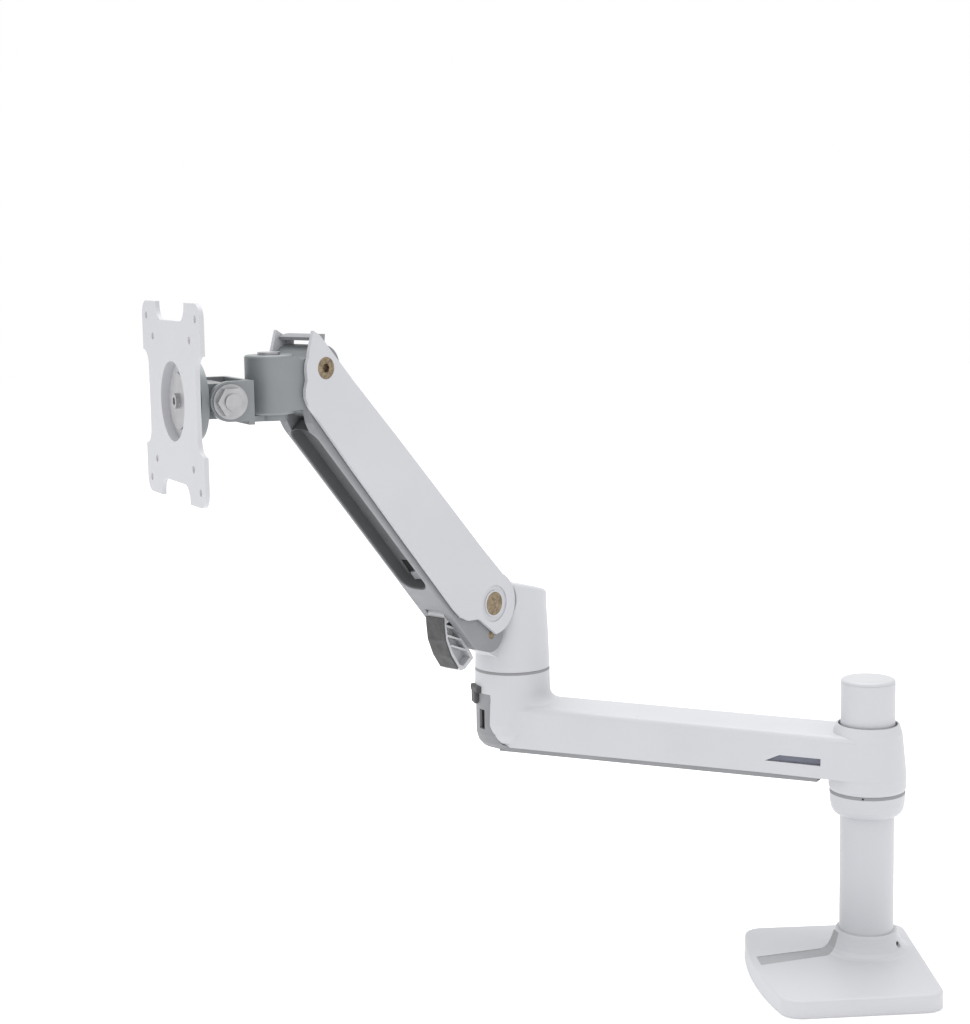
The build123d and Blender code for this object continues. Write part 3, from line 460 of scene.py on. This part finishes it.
def add_piece(name, points, faces, slot, body, smooth=True, finish=None):
    """Make a mesh object from points and faces, ride a body and take a slot's finish."""
    mesh = bpy.data.meshes.new(name)
    mesh.from_pydata(points.tolist(), [], faces)
    mesh.polygons.foreach_set("use_smooth", np.full(len(mesh.polygons), smooth))
    mesh.materials.append(finish or bpy.data.materials[FINISHES[slot].__name__])
    made = bpy.data.objects.new(name, mesh)
    bpy.context.scene.collection.objects.link(made)
    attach(made, body)
    return made


def tube_faces(rows, around, flip=False):
    """Quads of a grid of rings joined in order, with a many-sided cap on each end.

    The point in row r and column c is number r times around plus c. A quad joins a point,
    the next in its ring, and the same two in the next ring; the last column joins the first.
    """
    ring = np.arange(around)
    start = (np.arange(rows - 1) * around)[:, None]
    after = (ring + 1) % around
    near, far = start, start + around
    quads = np.stack([near + ring, near + after, far + after, far + ring], -1).reshape(-1, 4)
    caps = [ring[::-1], (rows - 1) * around + ring]
    if flip:
        quads, caps = quads[:, ::-1], [cap[::-1] for cap in caps]
    return quads.tolist() + [cap.tolist() for cap in caps]


def at_height(flat, height):
    """Points of a flat outline, each with the same height added as a third number."""
    return np.concatenate([flat, np.full((len(flat), 1), height)], -1)


def swept(path, radius, around):
    """Rings of one radius round a path of points.

    At each point the tangent is the path's slope; the ring lies in the plane of the
    direction away from the path's straight axis and the cross product of that with the tangent.
    """
    tangent = np.gradient(path, axis=0)
    tangent /= np.linalg.norm(tangent, axis=1, keepdims=True)
    away = path * (0.0, 1.0, 1.0)
    away -= (away * tangent).sum(1, keepdims=True) * tangent
    away /= np.linalg.norm(away, axis=1, keepdims=True)
    side = np.cross(tangent, away)
    angle = np.linspace(0.0, FULL_TURN, around, endpoint=False)[None, :, None]
    round_path = np.cos(angle) * away[:, None] + np.sin(angle) * side[:, None]
    return (path[:, None] + radius * round_path).reshape(-1, 3)


# ------------------------------------------------------------------ sizes of the new pieces

# All in metres. Spring and rod: along the lift arm from its rear pivot, and radii.
SPRING_START = 0.0663
SPRING_END = 0.1677
SPRING_R = 0.0089
TENSION_DROP = 0.001  # spring and rod lie this far under the line of the pivots
END_COIL = 1.5  # closed turns at each end
CLOSED_PITCH = 2.1  # climb of a closed turn, in wire radii
SPRING_STEPS = 48  # rings in one turn
WIRE_SIDES = 12

ROD_SIDES = 48
HEAD_BACK = 0.0410
HEAD_FRONT = 0.0470
HEAD_R = 0.0064
HEAD_BEVEL = 0.0006
SOCKET_HALF = 0.00225  # from the hexagon's middle to a flat
SOCKET_FLOOR = 0.0433
SOCKET_BEVEL = 0.0002
SOCKET_MIDDLE = 0.02  # share of the hexagon left for the floor's cap
NECK_R = 0.0034
THREAD_START = 0.0474
THREAD_END = 0.1892
THREAD_ROOT_R = 0.0032
THREAD_SLOPE = 0.0008  # rise of the radius over one pitch of distance from the root
THREAD_STEPS = 6.0  # rings in one pitch
ROD_TIP = ((0.1896, 0.0030), (0.1900, 0.0026))  # place and radius

# Groove: the dark grey tray and the slit's black plate are painted shade, the catch is a grey part. All along the
# lower link from its rear pivot, across it, and up from its pivots' line.
SHADE_TRAY_START = 0.066
SHADE_TRAY_END_GAP = 0.007
SHADE_TRAY_HALF = 0.0118
SHADE_TRAY_CORNER = 0.009
SHADE_TRAY_SIDES = 64
SHADE_TRAY_PROFILE = (  # inset from the edge, and height
    (0.00005, -0.00785),
    (0.00005, -0.0160),
    (0.00035, -0.0163),
    (0.0007, -0.0160),
    (0.0009, -0.0086),
)
SLIT_CORNERS = ((0.0860, -0.0068), (0.0860, 0.0060), (0.0745, 0.0042), (0.0715, -0.0080))
CATCH_CORNERS = ((0.0752, -0.0050), (0.0772, 0.0034), (0.0690, 0.0020), (0.0676, -0.0060))
PLATE_TOP = -0.00855
SLIT_LOW = -0.00890
CATCH_LOW = -0.01010

# Slot shade plates, near-black sheets of painted shade at the backs of the end cover's cable slots: yaw round the
# elbow's axis, half width, heights, and distances from the axis.
SHADE_PLATE_YAWS = (60.0, -60.0)
SHADE_PLATE_HALF = 0.00315
SHADE_PLATE_LOW = 0.13535
SHADE_PLATE_HIGH = 0.14915
SHADE_PLATE_INNER = 0.02290
SHADE_PLATE_OUTER = 0.02375


# ------------------------------------------------------------------ operators


class DESKARM_OT_coat_nodes(bpy.types.Operator):
    """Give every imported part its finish"""

    bl_idname = "desk_arm.coat_nodes"
    bl_label = "Coat Packed Parts"

    def execute(self, context):
        settings = context.scene.desk_arm_finish
        made = {slot: maker(settings) for slot, maker in FINISHES.items()}
        slots = {row["node"]: row["material_slot"] for row in RECORD["subparts"]}
        for name, part in frame["nodes"].items():
            part.data.materials.clear()
            own = NODE_FINISHES.get(name)
            part.data.materials.append(own(settings) if own else made[slots[name]])
        return {"FINISHED"}


class DESKARM_OT_spring(bpy.types.Operator):
    """Wind the lift arm's spring with closed end coils in place of the plain one"""

    bl_idname = "desk_arm.spring"
    bl_label = "Wind Spring"

    def execute(self, context):
        settings = context.scene.desk_arm_spring
        origin, rows = lift_frame()
        wire = settings.wire
        # A helix: the wire's middle keeps one radius and turns evenly. Along the axis it climbs
        # by the closed pitch over the end coils, and shares out the rest over the open turns.
        end_coils = 2.0 * END_COIL
        turns = settings.turns + end_coils
        steps = int(turns * SPRING_STEPS)
        turn = np.linspace(0.0, turns, steps)
        first, last = SPRING_START + wire, SPRING_END - wire
        climb = CLOSED_PITCH * wire
        closed_turns = np.clip(turn, 0.0, END_COIL)
        closed_turns += np.clip(turn - turns + END_COIL, 0.0, END_COIL)
        open_part = np.clip((turn - END_COIL) / (turns - end_coils), 0.0, 1.0)
        along = first + climb * closed_turns + (last - first - climb * end_coils) * open_part
        radius = SPRING_R - wire
        angle = FULL_TURN * turn
        path = np.stack([along, radius * np.cos(angle), radius * np.sin(angle)], -1)
        points = origin + (swept(path, wire, WIRE_SIDES) - (0.0, 0.0, TENSION_DROP)) @ rows
        faces = tube_faces(steps, WIRE_SIDES)
        made = add_piece("wound_spring", points, faces, "spring_steel", "lift_arm")
        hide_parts("tension_spring")
        return {"FINISHED"}


class DESKARM_OT_threaded_rod(bpy.types.Operator):
    """Cut a thread on the tension rod and a hexagon in its head"""

    bl_idname = "desk_arm.threaded_rod"
    bl_label = "Thread Rod"

    def execute(self, context):
        settings = context.scene.desk_arm_spring
        origin, rows = lift_frame()
        # Rings along the rod, each a radius at every angle. A hexagon's radius is its half
        # width over the cosine of the angle from the nearest flat. The thread's radius rises
        # evenly with the distance from its root, which moves on by one pitch in a full turn.
        pitch = settings.thread_pitch
        angle = np.linspace(0.0, FULL_TURN, ROD_SIDES, endpoint=False)
        sector = np.mod(angle, math.pi / 3.0) - math.pi / 6.0
        hexagon = SOCKET_HALF / np.cos(sector)
        circle = np.ones(ROD_SIDES)
        rim = (HEAD_R - HEAD_BEVEL) * circle
        head = (
            (SOCKET_FLOOR, hexagon * SOCKET_MIDDLE),
            (SOCKET_FLOOR, hexagon),
            (HEAD_BACK + SOCKET_BEVEL, hexagon),
            (HEAD_BACK, hexagon + SOCKET_BEVEL),
            (HEAD_BACK, rim),
            (HEAD_BACK + HEAD_BEVEL, HEAD_R * circle),
            (HEAD_FRONT - HEAD_BEVEL, HEAD_R * circle),
            (HEAD_FRONT, rim),
            (HEAD_FRONT, NECK_R * circle),
        )
        along = np.arange(THREAD_START, THREAD_END, pitch / THREAD_STEPS)
        phase = np.mod(along[:, None] / pitch - angle[None] / FULL_TURN, 1.0)
        thread = THREAD_ROOT_R + THREAD_SLOPE * np.abs(phase - 0.5)
        tip = tuple((place, radius * circle) for place, radius in ROD_TIP)
        x = np.concatenate([[place for place, _ in head], along, [place for place, _ in tip]])
        r = np.concatenate([[ring for _, ring in head], thread, [ring for _, ring in tip]])
        across, up = r * np.cos(angle), r * np.sin(angle) - TENSION_DROP
        rings = np.stack([np.broadcast_to(x[:, None], r.shape), across, up], -1)
        points = origin + rings.reshape(-1, 3) @ rows
        made = add_piece("threaded_rod", points, tube_faces(len(x), ROD_SIDES), "steel", "lift_arm")
        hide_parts("tension_rod")
        return {"FINISHED"}


class DESKARM_OT_groove_tray(bpy.types.Operator):
    """Set a dark grey tray of painted shade, a black plate of painted shade in its slit, and its catch into the
    lower channel's groove
    """

    bl_idname = "desk_arm.groove_tray"
    bl_label = "Groove Tray"

    def execute(self, context):
        rear, front = JOINTS["lower_link_pivot"], JOINTS["head_level"]
        upper = np.array(JOINTS["arm_lift"]["pos_m"])
        link = np.array(front["pos_m"]) - upper
        origin, rows = axes_at(rear["pos_m"], link, -np.array(rear["axis"]))
        # A rounded rectangle: each point stands at a corner's middle plus the corner's radius
        # in its own direction. The profile draws that radius in, ring by ring.
        first, last = SHADE_TRAY_START, np.linalg.norm(link) - SHADE_TRAY_END_GAP
        half_step = math.pi / SHADE_TRAY_SIDES
        turn = np.linspace(0.0, FULL_TURN, SHADE_TRAY_SIDES, endpoint=False) + half_step
        middle = np.stack(
            [
                np.where(np.cos(turn) > 0.0, last - SHADE_TRAY_CORNER, first + SHADE_TRAY_CORNER),
                np.where(np.sin(turn) > 0.0, SHADE_TRAY_HALF - SHADE_TRAY_CORNER, SHADE_TRAY_CORNER - SHADE_TRAY_HALF),
            ],
            -1,
        )
        out = np.stack([np.cos(turn), np.sin(turn)], -1)
        rings = [
            at_height(middle + (SHADE_TRAY_CORNER - inset) * out, height)
            for inset, height in SHADE_TRAY_PROFILE
        ]
        points = origin + np.concatenate(rings) @ rows
        faces = tube_faces(len(SHADE_TRAY_PROFILE), SHADE_TRAY_SIDES, True)
        finish = tray_moulding(context.scene.desk_arm_finish)
        add_piece("groove_tray", points, faces, "grey_plastic", "lower_link", False, finish)
        # Each plate is its four corners at two heights; the slit's black plate is painted shade, the catch a grey
        # part.
        plates = {
            "groove_slit_shade": (SLIT_CORNERS, SLIT_LOW, "dark_plastic", black_void()),
            "groove_catch": (CATCH_CORNERS, CATCH_LOW, "grey_plastic", None),
        }
        for name, (corners, low, slot, look) in plates.items():
            layers = [at_height(np.array(corners), height) for height in (PLATE_TOP, low)]
            points = origin + np.concatenate(layers) @ rows
            faces = tube_faces(2, len(corners), True)
            add_piece(name, points, faces, slot, "lower_link", False, look)
        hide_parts("channel_clip")
        return {"FINISHED"}


class DESKARM_OT_slot_liners(bpy.types.Operator):
    """Set near-black plates of painted shade at the backs of the end cover's two cable slots"""

    bl_idname = "desk_arm.slot_liners"
    bl_label = "Slot Liners"

    def execute(self, context):
        origin, rows = elbow_frame()
        # Each plate is a rectangle that faces away from the elbow's axis, at two distances.
        up = np.array([0.0, 0.0, 1.0])
        corners = np.array(
            [
                [-SHADE_PLATE_HALF, SHADE_PLATE_LOW],
                [SHADE_PLATE_HALF, SHADE_PLATE_LOW],
                [SHADE_PLATE_HALF, SHADE_PLATE_HIGH],
                [-SHADE_PLATE_HALF, SHADE_PLATE_HIGH],
            ]
        )
        for number, yaw in enumerate(SHADE_PLATE_YAWS, 1):
            turn = math.radians(yaw)
            out = np.array([math.cos(turn), math.sin(turn), 0.0])
            aside = np.array([-math.sin(turn), math.cos(turn), 0.0])
            flat = corners[:, :1] * aside + corners[:, 1:] * up
            layers = np.concatenate([flat + SHADE_PLATE_INNER * out, flat + SHADE_PLATE_OUTER * out])
            name = "slot_liner_" + str(number)
            points = origin + layers @ rows
            faces = tube_faces(2, len(corners))
            add_piece(name, points, faces, "dark_plastic", "extension", False, black_void())
        return {"FINISHED"}


# Name, side in metres, share of the power setting, place and target.
LIGHTS = (
    ("key", 2.2, 1.1, (0.3, -1.8, 2.1), (-0.15, 0.0, 0.2)),
    ("fill", 1.8, 0.55, (-1.9, -1.4, 1.0), (-0.2, 0.0, 0.2)),
    ("top", 1.6, 4.6, (-0.2, 0.5, 2.1), (-0.2, 0.0, 0.1)),
)
FLOOR_HALF = 6.0
FLOOR_DROP = 0.0006
FLOOR_GLOW = 0.22
WHITE = (1.0, 1.0, 1.0, 1.0)


def soft_light(name, size, power, place, target):
    """A square area light at a place, turned to a target."""
    data = bpy.data.lights.new(name, "AREA")
    data.shape = "SQUARE"
    data.size = size
    data.energy = power
    light = bpy.data.objects.new(name, data)
    bpy.context.scene.collection.objects.link(light)
    light.location = place
    light.rotation_mode = "QUATERNION"
    light.rotation_quaternion = (Vector(target) - Vector(place)).to_track_quat("-Z", "Y")


CAMERA_PLACE = (-0.3259, -1.2437, 0.4713)
CAMERA_DOWN = 0.1329  # tilt and roll in radians
CAMERA_ROLL = 0.0172
CAMERA_YAW = math.radians(-3.7)
SENSOR_MM = 36.0
CLIP_NEAR = 0.05
CLIP_FAR = 50.0


def camera_axes():
    """The camera's right, up and back, from its downward tilt, its small roll and its yaw.

    Level axes that look along y are tilted down, then rolled, and turned last by the yaw
    round the upright axis.
    """
    sd, cd = math.sin(CAMERA_DOWN), math.cos(CAMERA_DOWN)
    sr, cr = math.sin(CAMERA_ROLL), math.cos(CAMERA_ROLL)
    right = Vector((cr, -sr * sd, -sr * cd))
    up = Vector((sr, cr * sd, cr * cd))
    back = Vector((0.0, -cd, sd))
    yaw = Matrix.Rotation(CAMERA_YAW, 3, "Z")
    return Matrix((yaw @ right, yaw @ up, yaw @ back)).transposed()


class DESKARM_OT_studio(bpy.types.Operator):
    """Lay the floor, hang the lights and stand the camera"""

    bl_idname = "desk_arm.studio"
    bl_label = "Floor, Lights and Camera"

    def execute(self, context):
        studio = context.scene.desk_arm_studio
        scene = context.scene
        across = np.array([-FLOOR_HALF, FLOOR_HALF])
        x, y = np.meshgrid(across, across)
        points = np.stack([x.ravel(), y.ravel(), np.full(4, -FLOOR_DROP)], -1)
        mesh = bpy.data.meshes.new("floor")
        mesh.from_pydata(points.tolist(), [], [(0, 1, 3, 2)])
        floor = bpy.data.objects.new("floor", mesh)
        scene.collection.objects.link(floor)
        made = Finish("floor_sheet", specular=0.2)
        made.shader.inputs["Emission Color"].default_value = WHITE
        made.shader.inputs["Emission Strength"].default_value = FLOOR_GLOW
        cloud = made.noise(0.9, 1.0)
        base = studio.floor_colour[:]
        mesh.materials.append(made.close(cloud.mix(shaded(base, 0.995), base), 0.9))
        for name, size, share, place, target in LIGHTS:
            soft_light(name, size, studio.key_power * share, place, target)
        world = bpy.data.worlds.new("white_room")
        world.use_nodes = True
        sky = world.node_tree.nodes["Background"]
        sky.inputs["Color"].default_value = WHITE
        sky.inputs["Strength"].default_value = studio.sky_strength
        scene.world = world
        data = bpy.data.cameras.new("camera")
        data.sensor_width = SENSOR_MM
        data.lens = studio.lens
        data.clip_start = CLIP_NEAR
        data.clip_end = CLIP_FAR
        camera = bpy.data.objects.new("camera", data)
        scene.collection.objects.link(camera)
        camera.matrix_world = Matrix.Translation(CAMERA_PLACE) @ camera_axes().to_4x4()
        scene.camera = camera
        scene.view_settings.view_transform = "Standard"
        scene.view_settings.look = "None"
        return {"FINISHED"}


STEPS = (
    DESKARM_OT_coat_nodes,
    DESKARM_OT_spring,
    DESKARM_OT_threaded_rod,
    DESKARM_OT_groove_tray,
    DESKARM_OT_slot_liners,
    DESKARM_OT_studio,
)


class DESKARM_PT_sidebar(bpy.types.Panel):
    """The arm's steps and settings"""

    bl_idname = "DESKARM_PT_sidebar"
    bl_label = "Desk Arm"
    bl_space_type = "VIEW_3D"
    bl_region_type = "UI"
    bl_category = "Desk Arm"

    def draw(self, context):
        column = self.layout.column()
        scene = context.scene
        for group in (scene.desk_arm_finish, scene.desk_arm_spring, scene.desk_arm_studio):
            for key in group.__annotations__:
                column.prop(group, key)
        for step in STEPS:
            column.operator(step.bl_idname)


CLASSES = (DeskArmFinish, DeskArmSpring, DeskArmStudio, *STEPS, DESKARM_PT_sidebar)


def register():
    for cls in CLASSES:
        bpy.utils.register_class(cls)
    bpy.types.Scene.desk_arm_finish = PointerProperty(type=DeskArmFinish)
    bpy.types.Scene.desk_arm_spring = PointerProperty(type=DeskArmSpring)
    bpy.types.Scene.desk_arm_studio = PointerProperty(type=DeskArmStudio)


def unregister():
    del bpy.types.Scene.desk_arm_studio
    del bpy.types.Scene.desk_arm_spring
    del bpy.types.Scene.desk_arm_finish
    for cls in reversed(CLASSES):
        bpy.utils.unregister_class(cls)


def main():
    """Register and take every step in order."""
    register()
    for step in STEPS:
        group, name = step.bl_idname.split(".")
        getattr(getattr(bpy.ops, group), name)()


if __name__ == "__main__":
    main()
